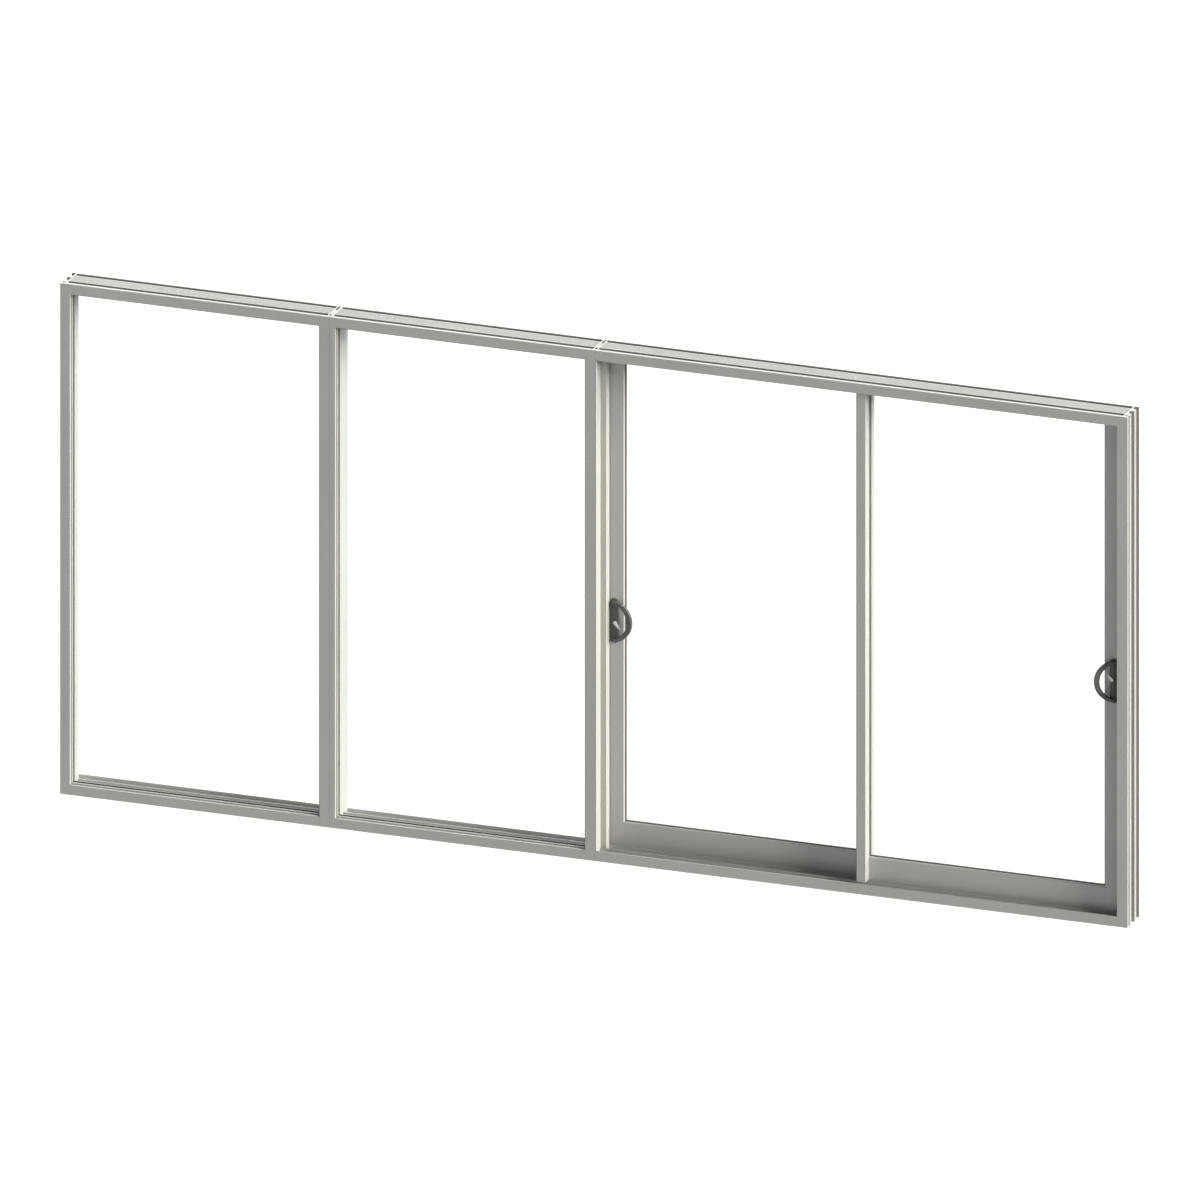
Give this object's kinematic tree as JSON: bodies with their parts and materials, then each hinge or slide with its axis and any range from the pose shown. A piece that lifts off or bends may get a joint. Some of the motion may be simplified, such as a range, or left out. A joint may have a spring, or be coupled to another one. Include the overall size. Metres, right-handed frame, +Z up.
{
  "type": "window wall with sliding door",
  "caption": "Wide metal-framed window wall: fixed lights on the left, a sliding patio door on the right, with bowed pulls and turning latch levers.",
  "frame": {"origin": "on the bottom face of the wall, half way along its width and its depth", "axes": "+X along the width to the right as seen from the front, +Y from the front to the back, +Z up"},
  "size_m": [4.267, 0.127, 2.032],
  "materials": {
    "frame_metal": "satin",
    "panel_metal": "satin",
    "clear_glass": "polished",
    "dark_gasket": "matte",
    "dark_handle": "satin",
    "satin_lever": "satin",
    "roller_nylon": "matte"
  },
  "bodies": {
    "frame": {"door_head": "frame_metal", "door_left_jamb": "frame_metal", "door_right_jamb": "frame_metal", "door_sill": "frame_metal", "left_coupler": "frame_metal", "left_window_bead": "frame_metal", "left_window_gasket": "dark_gasket", "left_window_glass": "clear_glass", "left_window_head": "frame_metal", "left_window_left_jamb": "frame_metal", "left_window_right_jamb": "frame_metal", "left_window_sill": "frame_metal", "middle_window_bead": "frame_metal", "middle_window_gasket": "dark_gasket", "middle_window_glass": "clear_glass", "middle_window_head": "frame_metal", "middle_window_left_jamb": "frame_metal", "middle_window_right_jamb": "frame_metal", "middle_window_sill": "frame_metal", "right_coupler": "frame_metal"},
    "left_panel": {"left_panel_bottom_rail": "panel_metal", "left_panel_gasket": "dark_gasket", "left_panel_glass": "clear_glass", "left_panel_interlock": "panel_metal", "left_panel_left_stile": "panel_metal", "left_panel_plate": "dark_handle", "left_panel_pull": "dark_handle", "left_panel_right_stile": "panel_metal", "left_panel_rollers": "roller_nylon", "left_panel_top_rail": "panel_metal"},
    "right_panel": {"right_panel_bottom_rail": "panel_metal", "right_panel_gasket": "dark_gasket", "right_panel_glass": "clear_glass", "right_panel_interlock": "panel_metal", "right_panel_left_stile": "panel_metal", "right_panel_plate": "dark_handle", "right_panel_pull": "dark_handle", "right_panel_right_stile": "panel_metal", "right_panel_rollers": "roller_nylon", "right_panel_top_rail": "panel_metal"},
    "left_latch": {"left_latch_lever": "satin_lever"},
    "right_latch": {"right_latch_lever": "satin_lever"}
  },
  "joints": [
    {"name": "left_panel_slide", "type": "slide", "parent": "frame", "child": "left_panel", "axis": [1, 0, 0], "range_m": [0, 0.91]},
    {"name": "right_panel_slide", "type": "slide", "parent": "frame", "child": "right_panel", "axis": [1, 0, 0], "range_m": [-0.91, 0]},
    {"name": "left_latch_turn", "type": "hinge", "parent": "left_panel", "child": "left_latch", "pos_m": [0.055, 0.0265, 0.927], "axis": [0, 1, 0], "range_deg": [0, 60]},
    {"name": "right_latch_turn", "type": "hinge", "parent": "right_panel", "child": "right_latch", "pos_m": [2.0575, -0.0155, 0.965], "axis": [0, 1, 0], "range_deg": [0, 60]}
  ]
}
